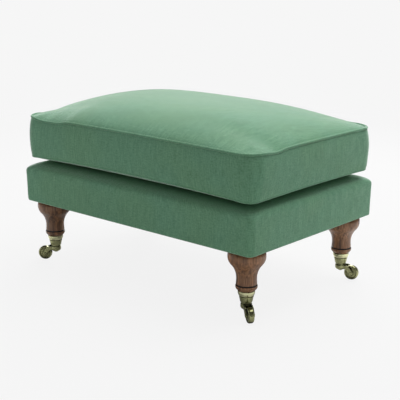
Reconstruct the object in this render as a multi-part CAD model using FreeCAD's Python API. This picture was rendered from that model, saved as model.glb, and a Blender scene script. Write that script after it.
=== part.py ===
import FreeCAD, Part
import math
import os

# Upholstered footstool: a loose box cushion on a sprung base, with four turned legs on brass cup castors.
# Millimetres. The origin is on the floor under the middle, X runs along the long side and -Y is the front.

# Castor wheel and axle
wheel_radius = 19.0
wheel_width = 14.0
wheel_tread_round = 4.0
wheel_rim_depth = 4.5
wheel_hub_radius = 6.0
wheel_dish_depth = 2.0
wheel_dish_slope = 1.0
axle_radius = 2.5
axle_head_radius = 3.3
axle_head_height = 1.0
running_clearance = 0.05
end_play = 0.15

# Castor horn, the fork that swivels and trails the wheel
castor_trail = 30.5
horn_rise = 20.5
horn_boss_radius = 14.0
horn_boss_height = 14.5
horn_boss_round = 1.5
horn_bowl_round = 7.0
horn_arm_thickness = 3.0
horn_arm_gap = 1.0
horn_arm_drop = 0.7
horn_arm_width = 10.5
horn_shoulder_reach = 19.0
horn_tip_radius = 5.75
horn_tip_flat = 0.05
horn_shoulder_round = 14.0
horn_armpit_round = 6.0
horn_relief_clearance = 1.2

# Castor pivot and cup
pivot_radius = 4.0
pivot_rivet_radius = 6.5
pivot_rivet_height = 2.4
pivot_rivet_edge = 0.2
pivot_collar_radius = 12.4
pivot_collar_height = 3.35
pivot_head_radius = 7.0
pivot_head_height = 2.0
cup_height = 28.2
cup_floor = 3.0
cup_wall = 1.8
cup_base_radius = 14.6
cup_base_round = 1.6
cup_waist_radius = 17.7
cup_rim_radius = 20.7
cup_band_height = 11.5
cup_flare_height = 6.3
cup_flare_round = 1.6
cup_step = 0.8
cup_edge_round = 0.8
cup_fit_clearance = 0.1

# Turned leg
leg_length = 126.5
leg_inset = 56.0
leg_bulb_radius = 46.0
leg_bulb_corner_height = 100.0
leg_bulb_round = 29.0
leg_crown_round = 12.0
leg_neck_radius = 24.7
leg_cove_corner_height = 76.0
leg_cove_round = 50.0
leg_neck_height = 54.0
leg_collar_radius = 25.4
leg_collar_round = 0.9
leg_groove_radius = 23.7
leg_groove_height = 39.5
leg_groove_width = 2.2
leg_bead_radius = 26.6
leg_bead_corner_height = 31.4
leg_bead_round = 10.0
leg_bead_edge_round = 1.8

# Hanger bolt and tee nut that hold a leg
bolt_radius = 4.0
bolt_in_leg = 35.0
bolt_clearance = 0.15
nut_barrel_radius = 5.5
nut_barrel_length = 12.0
nut_flange_radius = 11.0
nut_flange_thickness = 1.5
nut_fit_clearance = 0.1

# Timber frame
rail_thickness = 25.0
rail_height = 72.0
rail_edge_round = 3.0
cross_rail_thickness = 25.0
cross_rail_height = 45.0
block_size = 80.0
block_height = 40.0
block_chamfer = 35.0

# Upholstered base
base_length = 800.0
base_width = 510.0
base_corner_radius = 17.0
base_wall_height = 84.5
base_dome_rise = 26.0
base_flat_length = 520.0
base_flat_width = 230.0
base_dome_corner_growth = 60.0
base_dome_powers = (2 / 3, 2 / 3, 2 / 3)
cover_thickness = 1.5
hem_width = 35.0
wadding_thickness = 6.5
dust_cover_thickness = 1.0
dust_cover_inset = 10.0
dust_cover_hole_clearance = 0.5

# Webbing and hessian under the platform foam
webbing_width = 50.0
webbing_thickness = 2.0
webbing_bite = 18.0
webbing_slack = 4.0
lengthwise_band_count = 3
crosswise_band_count = 5
hessian_thickness = 1.0
hessian_bite = 15.0

# Loose cushion
cushion_rest_gap = 0.3
cushion_length = 796.0
cushion_width = 497.0
cushion_corner_radius = 48.0
cushion_bottom_length = 785.0
cushion_bottom_width = 493.5
cushion_bottom_corner_radius = 31.0
cushion_border_height = 111.5
cushion_border_bulge = 10.0
cushion_crown_rise = 61.5
cushion_crown_flat_length = 150.0
cushion_crown_flat_width = 50.0
cushion_crown_corner_growth = 250.0
cushion_crown_powers = (0.645, 0.881, 1.6)
cushion_sag = 16.7
cushion_sag_corner_growth = 60.0
cushion_sag_powers = (0.8, 0.8, 1.2)
piping_radius = 3.2
piping_sides = 8
stitch_gap = 0.1
panel_thickness = 1.5

# Zip in the back of the cushion's border
zip_length = 560.0
zip_tape_width = 12.0
zip_tape_thickness = 1.2
zip_chain_width = 4.0
zip_chain_height = 0.6
zip_depth = 4.0
zip_end_stop = 1.0
slider_length = 10.0
slider_width = 8.0
slider_thickness = 1.8
slider_gap = 0.3
pull_length = 20.0
pull_width = 5.0
pull_thickness = 1.0

# How many outlines each soft form is lofted through, and the widest corner as a share of an outline's width
dome_steps = 8
border_steps = 6
widest_corner = 0.47

# How far a straight taper may cut inside the arc it stands for on a turned piece, and how far cuts run past a face
taper_depth = 0.3
cut_overshoot = 1.0

# Which way each castor trails when the stool stands as found, in degrees from +X
castor_headings = {
    "front_left": 216.6,
    "front_right": -34.5,
    "back_left": 161.1,
    "back_right": 18.9,
}

# Heights worked out from the floor up
axle_z = wheel_radius
horn_top_z = axle_z + horn_rise
horn_bottom_z = horn_top_z - horn_boss_height
cup_bottom_z = horn_top_z + end_play + pivot_collar_height
cup_floor_z = cup_bottom_z + cup_floor
cup_top_z = cup_bottom_z + cup_height
leg_top_z = cup_floor_z + leg_length
base_bottom_z = leg_top_z + dust_cover_thickness
frame_bottom_z = base_bottom_z + cover_thickness
rail_top_z = frame_bottom_z + rail_height
block_top_z = frame_bottom_z + block_height
hessian_z = rail_top_z + 2 * webbing_thickness
foam_z = hessian_z + hessian_thickness
dome_z = base_bottom_z + base_wall_height
platform_z = dome_z + base_dome_rise
cushion_z = platform_z + cushion_rest_gap
bottom_seam_z = cushion_z + cushion_sag
top_seam_z = bottom_seam_z + cushion_border_height
zip_z = (bottom_seam_z + top_seam_z) / 2

# Places worked out in plan
rail_setback = cover_thickness + wadding_thickness
frame_x = base_length / 2 - rail_setback
frame_y = base_width / 2 - rail_setback
inner_x = frame_x - rail_thickness
inner_y = frame_y - rail_thickness
leg_places = {
    "front_left": (leg_inset - base_length / 2, leg_inset - base_width / 2),
    "front_right": (base_length / 2 - leg_inset, leg_inset - base_width / 2),
    "back_left": (leg_inset - base_length / 2, base_width / 2 - leg_inset),
    "back_right": (base_length / 2 - leg_inset, base_width / 2 - leg_inset),
}
wheel_slot = wheel_width / 2 + horn_arm_gap
fork_half_width = wheel_slot + horn_arm_thickness

UP = FreeCAD.Vector(0, 0, 1)
ACROSS = FreeCAD.Vector(0, 1, 0)
ORIGIN = FreeCAD.Vector(0, 0, 0)


def corner_arc(corners, index):
    """Start, centre, end and turn in radians of the tangent arc that rounds one corner (u, v, radius)."""
    u, v, radius = corners[index]
    here = FreeCAD.Vector(u, v, 0)
    back = FreeCAD.Vector(*corners[index - 1][:2], 0) - here
    ahead = FreeCAD.Vector(*corners[(index + 1) % len(corners)][:2], 0) - here
    back.normalize()
    ahead.normalize()
    half_angle = back.getAngle(ahead) / 2
    reach = radius / math.tan(half_angle)
    centre = here + (back + ahead).normalize() * (radius / math.sin(half_angle))
    return here + back * reach, centre, here + ahead * reach, math.pi - 2 * half_angle


def rounded_wire(corners, place):
    """Closed wire through corners (u, v, radius), each one rounded by its tangent arc."""
    spans = []
    for index, (u, v, radius) in enumerate(corners):
        if radius == 0:
            here = FreeCAD.Vector(u, v, 0)
            spans.append((here, None, here))
            continue
        start, centre, end, _ = corner_arc(corners, index)
        outward = ((start + end) / 2 - centre).normalize()
        spans.append((start, centre + outward * radius, end))
    edges = []
    for index, (start, middle, end) in enumerate(spans):
        if middle is not None:
            edges.append(Part.Arc(place(start), place(middle), place(end)).toShape())
        following = spans[(index + 1) % len(spans)][0]
        if (following - end).Length > 1e-6:
            edges.append(Part.makeLine(place(end), place(following)))
    return Part.Wire(edges)


def turned_wire(corners, place):
    """Closed outline for the lathe: as rounded_wire, but each rounding is cut as a few straight tapers."""
    points = []
    for index, (u, v, radius) in enumerate(corners):
        if radius == 0:
            points.append(FreeCAD.Vector(u, v, 0))
            continue
        start, centre, end, turn = corner_arc(corners, index)
        widest_turn = 2 * math.acos(1 - min(taper_depth / radius, 1))
        tapers = math.ceil(turn / widest_turn)
        arm = start - centre
        spin = math.copysign(turn / tapers, arm.cross(end - centre).z)
        for step in range(tapers + 1):
            swung = FreeCAD.Rotation(UP, math.degrees(spin * step)).multVec(arm)
            points.append(centre + swung)
    return Part.makePolygon([place(point) for point in points + points[:1]])


def rounded_rectangle(length, width, radius, z):
    """Level outline, centred on the origin's axis."""
    x = length / 2
    y = width / 2
    corners = [(-x, -y, radius), (x, -y, radius), (x, y, radius), (-x, y, radius)]
    return rounded_wire(corners, lambda p: FreeCAD.Vector(p.x, p.y, z))


def slab(length, width, radius, low_z, high_z):
    """Upright block with rounded vertical corners."""
    return Part.Face(rounded_rectangle(length, width, radius, low_z)).extrude(UP * (high_z - low_z))


def box(low, high):
    """Block between two opposite corners."""
    size = [b - a for a, b in zip(low, high)]
    return Part.makeBox(*size, FreeCAD.Vector(*low))


def lathe(corners):
    """Solid turned about the Z axis from a profile of (radius, height, rounding)."""
    wire = turned_wire(corners, lambda p: FreeCAD.Vector(p.x, 0, p.y))
    return Part.Face(wire).revolve(ORIGIN, UP, 360)


def bore(radius, low_z, high_z):
    """Upright cylinder on the Z axis, for a hole."""
    return Part.makeCylinder(radius, high_z - low_z, UP * low_z)


def at_leg(shape, corner):
    """The shape moved from the Z axis to a leg's own axis."""
    x, y = leg_places[corner]
    moved = shape.copy()
    moved.translate(FreeCAD.Vector(x, y, 0))
    return moved


def at_castor(shape, corner):
    """The shape turned to its castor's heading and moved to the leg."""
    turned = shape.copy()
    turned.rotate(ORIGIN, UP, castor_headings[corner])
    return at_leg(turned, corner)


def dome_levels(foot, flat, corner, growth, foot_z, rise, powers, inset=0.0):
    """Outlines of a padded dome, from its foot to the flat on top; inset draws it in by a cloth's thickness."""
    along, across, upward = powers
    levels = []
    for step in range(dome_steps + 1):
        turn = math.pi / 2 * step / dome_steps
        length = flat[0] + (foot[0] - flat[0]) * math.cos(turn) ** along - 2 * inset
        width = flat[1] + (foot[1] - flat[1]) * math.cos(turn) ** across - 2 * inset
        height = math.sin(turn) ** upward
        drawn_in = max(0.0, 1 - math.cos(turn) ** along)
        radius = min(corner + growth * math.sqrt(drawn_in), widest_corner * width) - inset
        drawn_rise = rise - math.copysign(inset, rise)
        levels.append(rounded_rectangle(length, width, radius, foot_z + drawn_rise * height))
    return levels


# Castors


def castor_wheel():
    """Solid wheel with a rounded tread and dished sides, on its axle's line."""
    half = wheel_width / 2
    dish = half - wheel_dish_depth
    hole = axle_radius + running_clearance
    rim = wheel_radius - wheel_rim_depth
    side = [
        (hole, half, 0),
        (wheel_hub_radius, half, 0),
        (wheel_hub_radius + wheel_dish_slope, dish, 0),
        (rim - wheel_dish_slope, dish, 0),
        (rim, half, 0),
        (wheel_radius, half, wheel_tread_round),
    ]
    mirrored = [(r, -w, rounding) for r, w, rounding in reversed(side)]
    hub = FreeCAD.Vector(castor_trail, 0, axle_z)
    wire = turned_wire(side + mirrored, lambda p: hub + FreeCAD.Vector(0, p.y, -p.x))
    return Part.Face(wire).revolve(hub, ACROSS, 360)


def castor_axle():
    """Rivet through the wheel and both arms, with a domed head outside each arm."""
    dome = axle_head_height / 2
    side = [
        (0, fork_half_width + axle_head_height, 0),
        (axle_head_radius, fork_half_width + axle_head_height, dome),
        (axle_head_radius, fork_half_width, 0),
        (axle_radius, fork_half_width, 0),
    ]
    mirrored = [(r, -w, rounding) for r, w, rounding in reversed(side)]
    hub = FreeCAD.Vector(castor_trail, 0, axle_z)
    wire = turned_wire(side + mirrored, lambda p: hub + FreeCAD.Vector(0, p.y, -p.x))
    return Part.Face(wire).revolve(hub, ACROSS, 360)


def horn_arm_outline():
    """Side view of an arm: level out of the boss, over a round shoulder and down to a round tip at the axle."""
    top = horn_top_z - horn_arm_drop
    bottom = top - horn_arm_width
    tip_round = horn_tip_radius - horn_tip_flat
    shoulder = FreeCAD.Vector(horn_shoulder_reach, (top + bottom) / 2, 0)
    tip = FreeCAD.Vector(castor_trail, axle_z, 0)
    down = (tip - shoulder).normalize()
    outward = FreeCAD.Vector(-down.y, down.x, 0)
    end = tip + down * horn_tip_radius
    upper = end + outward * horn_tip_radius
    lower = end - outward * horn_tip_radius
    upper_bend = upper - down * ((upper.y - top) / down.y)
    lower_bend = lower - down * ((lower.y - bottom) / down.y)
    return [
        (0, bottom, 0),
        (lower_bend.x, bottom, horn_armpit_round),
        (lower.x, lower.y, tip_round),
        (upper.x, upper.y, tip_round),
        (upper_bend.x, top, horn_shoulder_round),
        (0, top, 0),
    ]


def castor_horn():
    """Bowl-shaped boss on the pivot, with two arms that sweep down either side of the wheel."""
    boss = lathe([
        (0, horn_bottom_z, 0),
        (horn_boss_radius, horn_bottom_z, horn_bowl_round),
        (horn_boss_radius, horn_top_z, horn_boss_round),
        (0, horn_top_z, 0),
    ])
    outline = Part.Face(rounded_wire(horn_arm_outline(), lambda p: FreeCAD.Vector(p.x, wheel_slot, p.y)))
    arm = outline.extrude(ACROSS * horn_arm_thickness)
    other_arm = arm.mirror(ORIGIN, ACROSS)
    slot_start = FreeCAD.Vector(castor_trail, -wheel_slot, axle_z)
    relief = Part.makeCylinder(wheel_radius + horn_relief_clearance, 2 * wheel_slot, slot_start, ACROSS)
    axle_reach = fork_half_width + cut_overshoot
    axle_start = FreeCAD.Vector(castor_trail, -axle_reach, axle_z)
    axle_hole = Part.makeCylinder(axle_radius + running_clearance, 2 * axle_reach, axle_start, ACROSS)
    horn = boss.fuse([arm, other_arm]).removeSplitter()
    pivot_hole = bore(
        pivot_radius + running_clearance, horn_bottom_z - cut_overshoot, horn_top_z + cut_overshoot)
    return horn.cut(relief).cut(axle_hole).cut(pivot_hole)


def castor_pivot():
    """Pin riveted in the cup's floor, with a thrust collar above the horn and a domed head below it."""
    rivet_top = horn_bottom_z - end_play
    return lathe([
        (0, rivet_top - pivot_rivet_height, 0),
        (pivot_rivet_radius, rivet_top - pivot_rivet_height, pivot_rivet_height - pivot_rivet_edge),
        (pivot_rivet_radius, rivet_top, 0),
        (pivot_radius, rivet_top, 0),
        (pivot_radius, horn_top_z + end_play, 0),
        (pivot_collar_radius, horn_top_z + end_play, 0),
        (pivot_collar_radius, cup_bottom_z, 0),
        (pivot_radius, cup_bottom_z, 0),
        (pivot_radius, cup_floor_z, 0),
        (pivot_head_radius, cup_floor_z, 0),
        (pivot_head_radius, cup_floor_z + pivot_head_height, 0),
        (0, cup_floor_z + pivot_head_height, 0),
    ])


def castor_cup():
    """Tapered round cup with a wider band at its mouth and a step below the band."""
    band_z = cup_top_z - cup_band_height
    return lathe([
        (pivot_radius, cup_bottom_z, 0),
        (cup_base_radius, cup_bottom_z, cup_base_round),
        (cup_waist_radius, band_z - cup_step, 0),
        (cup_waist_radius + cup_step, band_z, 0),
        (cup_rim_radius, band_z + cup_flare_height, cup_flare_round),
        (cup_rim_radius, cup_top_z, cup_edge_round),
        (cup_rim_radius - cup_wall, cup_top_z, 0),
        (cup_base_radius - cup_wall, cup_floor_z, 0),
        (pivot_radius, cup_floor_z, 0),
    ])


# Legs


def leg():
    """Turned leg: a foot inside the cup, a bead and groove, a waisted neck and a round bulb."""
    foot_radius = cup_base_radius - cup_wall - cup_fit_clearance
    mouth_radius = cup_rim_radius - cup_wall - cup_fit_clearance
    recess = pivot_head_radius + bolt_clearance
    recess_z = cup_floor_z + pivot_head_height + bolt_clearance
    groove_z = cup_floor_z + leg_groove_height
    turned = lathe([
        (0, recess_z, 0),
        (recess, recess_z, 0),
        (recess, cup_floor_z, 0),
        (foot_radius, cup_floor_z, 0),
        (mouth_radius, cup_top_z, 0),
        (leg_bead_radius, cup_floor_z + leg_bead_corner_height, leg_bead_round),
        (leg_bead_radius, groove_z, leg_bead_edge_round),
        (leg_groove_radius, groove_z, 0),
        (leg_groove_radius, groove_z + leg_groove_width, 0),
        (leg_collar_radius, groove_z + leg_groove_width, leg_collar_round),
        (leg_neck_radius, cup_floor_z + leg_neck_height, 0),
        (leg_neck_radius, cup_floor_z + leg_cove_corner_height, leg_cove_round),
        (leg_bulb_radius, cup_floor_z + leg_bulb_corner_height, leg_bulb_round),
        (leg_bulb_radius, leg_top_z, leg_crown_round),
        (0, leg_top_z, 0),
    ])
    bolt_hole = bore(bolt_radius + bolt_clearance, leg_top_z - bolt_in_leg, leg_top_z + cut_overshoot)
    return turned.cut(bolt_hole)


def hanger_bolt():
    """Stud that is screwed into the leg and up through the tee nut."""
    return bore(bolt_radius, leg_top_z - bolt_in_leg, block_top_z)


def tee_nut():
    """Nut with a barrel let into the block and a flange on top of it."""
    barrel_z = block_top_z - nut_barrel_length
    return lathe([
        (bolt_radius + bolt_clearance, barrel_z, 0),
        (nut_barrel_radius, barrel_z, 0),
        (nut_barrel_radius, block_top_z, 0),
        (nut_flange_radius, block_top_z, 0),
        (nut_flange_radius, block_top_z + nut_flange_thickness, 0),
        (bolt_radius + bolt_clearance, block_top_z + nut_flange_thickness, 0),
    ])


# Timber frame


def long_rail(side):
    """Front or back rail, the frame's full length; side is -1 for the front."""
    rail = box((-frame_x, inner_y, frame_bottom_z), (frame_x, frame_y, rail_top_z))
    outer_edges = [
        edge for edge in rail.Edges
        if edge.BoundBox.ZLength > rail_height / 2 and edge.BoundBox.YMin > (inner_y + frame_y) / 2
    ]
    rail = rail.makeFillet(rail_edge_round, outer_edges)
    return rail if side > 0 else rail.mirror(ORIGIN, ACROSS)


def short_rail(side):
    """Left or right rail, between the long rails; side is -1 for the left."""
    low_x, high_x = sorted((side * inner_x, side * frame_x))
    return box((low_x, -inner_y, frame_bottom_z), (high_x, inner_y, rail_top_z))


def cross_rail():
    """Stiffener between the long rails, low enough for the webbing to sink."""
    half = cross_rail_thickness / 2
    return box((-half, -inner_y, frame_bottom_z), (half, inner_y, frame_bottom_z + cross_rail_height))


def corner_block(corner):
    """Block in a corner of the frame with its free corner cut off, bored for the bolt and the tee nut."""
    leg_x, leg_y = leg_places[corner]
    x = math.copysign(inner_x, leg_x)
    y = math.copysign(inner_y, leg_y)
    in_x = x - math.copysign(block_size, x)
    in_y = y - math.copysign(block_size, y)
    cut_x = in_x + math.copysign(block_chamfer, x)
    cut_y = in_y + math.copysign(block_chamfer, y)
    outline = [(x, y), (in_x, y), (in_x, cut_y), (cut_x, in_y), (x, in_y)]
    points = [FreeCAD.Vector(u, v, frame_bottom_z) for u, v in outline + outline[:1]]
    block = Part.Face(Part.makePolygon(points)).extrude(UP * block_height)
    hole_top = block_top_z + cut_overshoot
    bolt_hole = bore(bolt_radius + bolt_clearance, frame_bottom_z - cut_overshoot, hole_top)
    nut_bottom = block_top_z - nut_barrel_length - nut_fit_clearance
    nut_hole = bore(nut_barrel_radius + nut_fit_clearance, nut_bottom, hole_top)
    return block.cut(at_leg(bolt_hole, corner)).cut(at_leg(nut_hole, corner))


# Webbing, hessian and foam


def band_centres(count, clear):
    """Middles of so many bands, evenly spread over a clear span."""
    pitch = clear / (count + 1)
    return [pitch * (index + 1) - clear / 2 for index in range(count)]


def webbing_band(crossings, over_first, half_span, place, width_way):
    """One band that passes over and under the bands it crosses, with its ends on the rails."""
    lower = [(-half_span - webbing_bite, 0), (-half_span, 0)]
    over = over_first
    for middle in crossings:
        lift = webbing_thickness if over else 0
        reach = webbing_width / 2 + webbing_slack
        lower += [(middle - reach, lift), (middle + reach, lift)]
        over = not over
    lower += [(half_span, 0), (half_span + webbing_bite, 0)]
    upper = [(along, lift + webbing_thickness) for along, lift in reversed(lower)]
    points = [place(along, rail_top_z + lift) for along, lift in lower + upper + lower[:1]]
    return Part.Face(Part.makePolygon(points)).extrude(width_way * webbing_width)


def lengthwise_webbing():
    """Bands along the frame, woven through the crosswise ones."""
    bands = []
    crossings = band_centres(crosswise_band_count, 2 * inner_x)
    for index, middle in enumerate(band_centres(lengthwise_band_count, 2 * inner_y)):
        edge = middle - webbing_width / 2
        bands.append(webbing_band(
            crossings, index % 2 == 0, inner_x, lambda u, z, y=edge: FreeCAD.Vector(u, y, z), ACROSS))
    return Part.makeCompound(bands)


def crosswise_webbing():
    """Bands across the frame, each under where the lengthwise one is over."""
    bands = []
    crossings = band_centres(lengthwise_band_count, 2 * inner_y)
    for index, middle in enumerate(band_centres(crosswise_band_count, 2 * inner_x)):
        edge = middle - webbing_width / 2
        bands.append(webbing_band(
            crossings, index % 2 == 1, inner_y, lambda u, z, x=edge: FreeCAD.Vector(x, u, z),
            FreeCAD.Vector(1, 0, 0)))
    return Part.makeCompound(bands)


def hessian():
    """Flat cloth over the webbing that keeps the foam out of its gaps."""
    x = inner_x + hessian_bite
    y = inner_y + hessian_bite
    return box((-x, -y, hessian_z), (x, y, foam_z))


def base_form(inset, low_z):
    """Upright sides up to the dome, and the dome, drawn in all over by inset."""
    dome = Part.makeLoft(dome_levels(
        (base_length, base_width), (base_flat_length, base_flat_width), base_corner_radius,
        base_dome_corner_growth, dome_z, base_dome_rise, base_dome_powers, inset), True, True)
    sides = slab(base_length - 2 * inset, base_width - 2 * inset, base_corner_radius - inset, low_z, dome_z)
    return sides.fuse(dome)


def platform_foam():
    """Foam pad that fills the cover's dome down to the hessian."""
    return base_form(cover_thickness, foam_z)


def side_wadding(x_side, y_side):
    """Strip of wadding on the straight of one rail's outer face."""
    straight_x = base_length / 2 - base_corner_radius
    straight_y = base_width / 2 - base_corner_radius
    if x_side:
        near, far = sorted((x_side * frame_x, x_side * (frame_x + wadding_thickness)))
        return box((near, -straight_y, frame_bottom_z), (far, straight_y, foam_z))
    near, far = sorted((y_side * frame_y, y_side * (frame_y + wadding_thickness)))
    return box((-straight_x, near, frame_bottom_z), (straight_x, far, foam_z))


def base_cover():
    """Sewn cover: domed top, upright sides and a hem turned in under the rails."""
    outer = base_form(0.0, base_bottom_z)
    inner = base_form(cover_thickness, frame_bottom_z)
    opening = slab(
        base_length - 2 * hem_width, base_width - 2 * hem_width, base_corner_radius,
        base_bottom_z - cut_overshoot, frame_bottom_z + cut_overshoot)
    return outer.cut(inner).cut(opening)


def dust_cover():
    """Thin cloth under the frame, with a small hole for each leg's bolt."""
    cloth = slab(
        base_length - 2 * dust_cover_inset, base_width - 2 * dust_cover_inset, base_corner_radius,
        leg_top_z, base_bottom_z)
    hole = bore(
        bolt_radius + dust_cover_hole_clearance, leg_top_z - cut_overshoot, base_bottom_z + cut_overshoot)
    return cloth.cut([at_leg(hole, corner) for corner in leg_places])


# Cushion


def crown_form(inset):
    """Filled crown above the top seam, full along its length and rounder across."""
    reach = 2 * (piping_radius + stitch_gap)
    return Part.makeLoft(dome_levels(
        (cushion_length - reach, cushion_width - reach), (cushion_crown_flat_length, cushion_crown_flat_width),
        cushion_corner_radius, cushion_crown_corner_growth, top_seam_z, cushion_crown_rise,
        cushion_crown_powers, inset), True, True)


def sag_form(inset):
    """Filled underside below the bottom seam, pressed flat where it rests on the platform."""
    reach = 2 * (piping_radius + stitch_gap)
    return Part.makeLoft(dome_levels(
        (cushion_bottom_length - reach, cushion_bottom_width - reach), (base_flat_length, base_flat_width),
        cushion_bottom_corner_radius, cushion_sag_corner_growth, bottom_seam_z, -cushion_sag,
        cushion_sag_powers, inset), True, True)


def border_form(inset):
    """Sides between the two seams, swelling outward at half height."""
    levels = []
    reach = 2 * (piping_radius + stitch_gap)
    for step in range(border_steps + 1):
        share = step / border_steps
        swell = 2 * cushion_border_bulge * math.sin(math.pi * share) - reach - 2 * inset
        length = cushion_bottom_length + (cushion_length - cushion_bottom_length) * share + swell
        width = cushion_bottom_width + (cushion_width - cushion_bottom_width) * share + swell
        radius = cushion_bottom_corner_radius
        radius += (cushion_corner_radius - cushion_bottom_corner_radius) * share - inset
        levels.append(rounded_rectangle(length, width, radius, bottom_seam_z + cushion_border_height * share))
    return Part.makeLoft(levels, True, True)


def border_face_y():
    """Where the border's back surface stands at half height."""
    middle_width = (cushion_width + cushion_bottom_width) / 2
    return middle_width / 2 + cushion_border_bulge - piping_radius - stitch_gap


def zip_space(low_y, spare):
    """Long box through the back of the border, for the zip."""
    half = zip_tape_width / 2 + spare
    reach = zip_length / 2 + spare
    return box((-reach, low_y, zip_z - half), (reach, border_face_y() + zip_depth, zip_z + half))


def cushion_foam():
    """Foam block inside the border, with a shallow groove behind the zip."""
    return border_form(panel_thickness).cut(zip_space(border_face_y() - zip_depth, 0))


def cushion_border():
    """Boxing strip round the cushion, open where the zip is sewn in."""
    strip = border_form(0.0).cut(border_form(panel_thickness))
    return strip.cut(zip_space(border_face_y() - 2 * zip_depth, 0))


def cushion_panel(form):
    """Thin cloth skin of the crown or the underside."""
    return form(0.0).cut(form(panel_thickness))


def piping(length, width, corner, z):
    """Cord sewn in a strip of cloth, all round one seam; its section is a polygon of few sides."""
    path = rounded_rectangle(length, width, corner, z)
    start = path.Vertexes[0].Point
    way = path.Edges[0].tangentAt(path.Edges[0].FirstParameter)
    beside = way.cross(UP)
    rim = []
    for side in range(piping_sides + 1):
        turn = 2 * math.pi * (side + 0.5) / piping_sides
        rim.append(start + (beside * math.cos(turn) + UP * math.sin(turn)) * piping_radius)
    return path.makePipeShell([Part.makePolygon(rim)], True, False)


def zip_chain():
    """Zip tape with the closed chain of teeth along its middle."""
    low_y = border_face_y() - zip_depth
    face_y = low_y + zip_tape_thickness
    reach = zip_length / 2
    tape = box((-reach, low_y, zip_z - zip_tape_width / 2), (reach, face_y, zip_z + zip_tape_width / 2))
    chain_half = zip_chain_width / 2
    chain = box(
        (-reach, face_y, zip_z - chain_half), (reach, face_y + zip_chain_height, zip_z + chain_half))
    return tape.fuse(chain).removeSplitter()


def zip_slider():
    """Slider at the closed end of the zip, with its flat pull laid along the tape."""
    low_y = border_face_y() - zip_depth + zip_tape_thickness + zip_chain_height + slider_gap
    end_x = zip_length / 2 - zip_end_stop
    half = slider_width / 2
    body = box((end_x - slider_length, low_y, zip_z - half), (end_x, low_y + slider_thickness, zip_z + half))
    pull_start = end_x - slider_length - pull_length
    pull_y = low_y + slider_thickness - pull_thickness
    pull = box(
        (pull_start, pull_y, zip_z - pull_width / 2),
        (end_x - slider_length, pull_y + pull_thickness, zip_z + pull_width / 2))
    return body.fuse(pull).removeSplitter()


# The whole stool, one entry for each file


parts = {
    "frame_front_rail": long_rail(-1),
    "frame_back_rail": long_rail(1),
    "frame_left_rail": short_rail(-1),
    "frame_right_rail": short_rail(1),
    "frame_cross_rail": cross_rail(),
    "webbing_lengthwise": lengthwise_webbing(),
    "webbing_crosswise": crosswise_webbing(),
    "hessian": hessian(),
    "platform_foam": platform_foam(),
    "wadding_front": side_wadding(0, -1),
    "wadding_back": side_wadding(0, 1),
    "wadding_left": side_wadding(-1, 0),
    "wadding_right": side_wadding(1, 0),
    "base_cover": base_cover(),
    "dust_cover": dust_cover(),
    "hanger_bolts": Part.makeCompound([at_leg(hanger_bolt(), corner) for corner in leg_places]),
    "tee_nuts": Part.makeCompound([at_leg(tee_nut(), corner) for corner in leg_places]),
    "cushion_foam": cushion_foam(),
    "cushion_fibre_top": crown_form(panel_thickness),
    "cushion_fibre_bottom": sag_form(panel_thickness),
    "cushion_panel_top": cushion_panel(crown_form),
    "cushion_panel_bottom": cushion_panel(sag_form),
    "cushion_border": cushion_border(),
    "piping_top": piping(cushion_length, cushion_width, cushion_corner_radius, top_seam_z),
    "piping_bottom": piping(
        cushion_bottom_length, cushion_bottom_width, cushion_bottom_corner_radius, bottom_seam_z),
    "zip_chain": zip_chain(),
    "zip_slider": zip_slider(),
}
for corner in leg_places:
    parts["corner_block_" + corner] = corner_block(corner)
    parts["leg_" + corner] = at_leg(leg(), corner)
    parts["castor_cup_" + corner] = at_leg(castor_cup(), corner)
    parts["castor_pivot_" + corner] = at_leg(castor_pivot(), corner)
    parts["castor_horn_" + corner] = at_castor(castor_horn(), corner)
    parts["castor_axle_" + corner] = at_castor(castor_axle(), corner)
    parts["castor_wheel_" + corner] = at_castor(castor_wheel(), corner)

os.makedirs("parts", exist_ok=True)
for name, shape in parts.items():
    shape.exportStep("parts/" + name + ".step")
    state = "closed" if shape.isValid() else "NOT VALID"
    print(name, len(shape.Solids), "solids", round(shape.Volume / 1000, 2), "cm3", state)
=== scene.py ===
import bpy
import math
from mathutils import Matrix, Vector, noise


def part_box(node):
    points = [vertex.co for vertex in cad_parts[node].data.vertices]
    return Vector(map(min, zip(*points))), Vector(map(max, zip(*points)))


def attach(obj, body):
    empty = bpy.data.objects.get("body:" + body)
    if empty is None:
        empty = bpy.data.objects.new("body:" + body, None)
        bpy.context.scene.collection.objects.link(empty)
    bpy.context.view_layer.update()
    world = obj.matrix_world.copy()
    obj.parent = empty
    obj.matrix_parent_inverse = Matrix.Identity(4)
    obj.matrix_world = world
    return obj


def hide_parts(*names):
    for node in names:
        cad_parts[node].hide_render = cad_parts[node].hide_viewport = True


# The looks of an upholstered footstool: a piped box cushion on a padded base, with turned walnut legs on
# brass castors. Metres, in the frame's own axes: +X is the right end, -Y the front, +Z up.

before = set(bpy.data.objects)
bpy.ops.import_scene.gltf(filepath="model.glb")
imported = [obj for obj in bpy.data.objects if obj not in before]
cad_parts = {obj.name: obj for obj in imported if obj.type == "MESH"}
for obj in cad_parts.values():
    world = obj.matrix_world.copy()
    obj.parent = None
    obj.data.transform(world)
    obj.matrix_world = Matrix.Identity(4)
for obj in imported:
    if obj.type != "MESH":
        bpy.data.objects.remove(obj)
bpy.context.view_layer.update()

# Camera, solved from the corners, seams and edges in the photograph
camera_place = (1.7643, -1.9722, 0.8878)
camera_aim = (0.0, 0.0, 0.1927)
camera_lens = 91.23
camera_sensor = 36.0
camera_shift = 0.0145

# Stage: tones of the backdrop and floor, and what a surface meets with looking level and looking up
backdrop_tone = 0.922
floor_tone = 0.8
floor_radius = 12.0
floor_near = 1.2
floor_far = 2.6
floor_shadow_share = 0.06
floor_glow = 0.92
ambient = 0.48
mirrored_low = 0.3
mirrored_high = 0.07
mirrored_span = (0.05, 0.75)

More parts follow.
